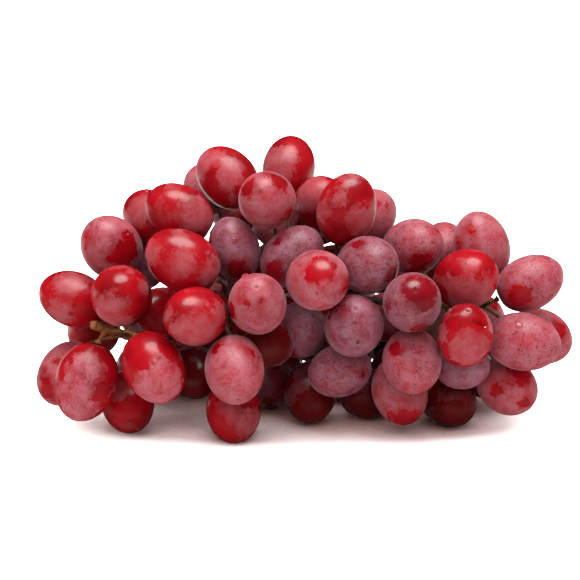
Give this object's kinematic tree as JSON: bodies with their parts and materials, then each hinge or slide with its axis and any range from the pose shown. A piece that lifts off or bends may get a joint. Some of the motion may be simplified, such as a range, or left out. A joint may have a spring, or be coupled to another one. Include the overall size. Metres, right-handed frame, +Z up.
{
  "type": "bunch of grapes",
  "caption": "Bunch of oval red table grapes lying on its side, the berries crowded round a branching woody stalk.",
  "frame": {"origin": "on the surface that the bunch lies on, under the middle of its bounding box", "axes": "+X along the bunch from the cut end of the stalk to its far end, +Y to the back of the bunch, +Z up from the surface"},
  "size_m": [0.177, 0.1172, 0.0936],
  "materials": {
    "grape_skin": "smooth, slightly translucent skin, deep red under a thin, patchy, pale waxy bloom",
    "water_drops": "small clear drops of water standing on the skins",
    "stalk": "matt and fibrous, green-yellow at the pedicels, tan to brown and knobbly at the cut end"
  },
  "bodies": {
    "root": {"stalk": "stalk", "berry_left_end_1": "grape_skin", "berry_left_end_2": "grape_skin", "berry_left_end_3": "grape_skin", "berry_left_end_4": "grape_skin", "berry_left_end_5": "grape_skin", "berry_left_end_6": "grape_skin", "berry_left_end_7": "grape_skin", "berry_left_shoulder_1": "grape_skin", "berry_left_shoulder_2": "grape_skin", "berry_left_shoulder_3": "grape_skin", "berry_left_shoulder_4": "grape_skin", "berry_left_shoulder_5": "grape_skin", "berry_crown_left_1": "grape_skin", "berry_crown_left_2": "grape_skin", "berry_crown_left_3": "grape_skin", "berry_crown_left_4": "grape_skin", "berry_crown_left_5": "grape_skin", "berry_crown_right_1": "grape_skin", "berry_crown_right_2": "grape_skin", "berry_crown_right_3": "grape_skin", "berry_crown_right_4": "grape_skin", "berry_crown_right_5": "grape_skin", "berry_belly_left_1": "grape_skin", "berry_belly_left_2": "grape_skin", "berry_belly_left_3": "grape_skin", "berry_belly_left_4": "grape_skin", "berry_belly_left_5": "grape_skin", "berry_belly_left_6": "grape_skin", "berry_belly_left_7": "grape_skin", "berry_belly_middle_1": "grape_skin", "berry_belly_middle_2": "grape_skin", "berry_belly_middle_3": "grape_skin", "berry_belly_middle_4": "grape_skin", "berry_belly_middle_5": "grape_skin", "berry_belly_middle_6": "grape_skin", "berry_belly_right_1": "grape_skin", "berry_belly_right_2": "grape_skin", "berry_belly_right_3": "grape_skin", "berry_belly_right_4": "grape_skin", "berry_right_shoulder_1": "grape_skin", "berry_right_shoulder_2": "grape_skin", "berry_right_shoulder_3": "grape_skin", "berry_right_end_1": "grape_skin", "berry_right_end_2": "grape_skin", "berry_right_end_3": "grape_skin", "berry_right_end_4": "grape_skin", "berry_right_end_5": "grape_skin", "berry_right_end_6": "grape_skin", "berry_right_end_7": "grape_skin", "berries_back_foot_left": "grape_skin", "berries_back_foot_right": "grape_skin", "berries_back_waist_left": "grape_skin", "berries_back_waist_right": "grape_skin", "berries_back_belly_left": "grape_skin", "berries_back_belly_right": "grape_skin", "berries_back_crown": "grape_skin", "berries_back_low_left": "grape_skin", "berries_back_low_right": "grape_skin", "berries_back_middle": "grape_skin"}
  },
  "joints": []
}
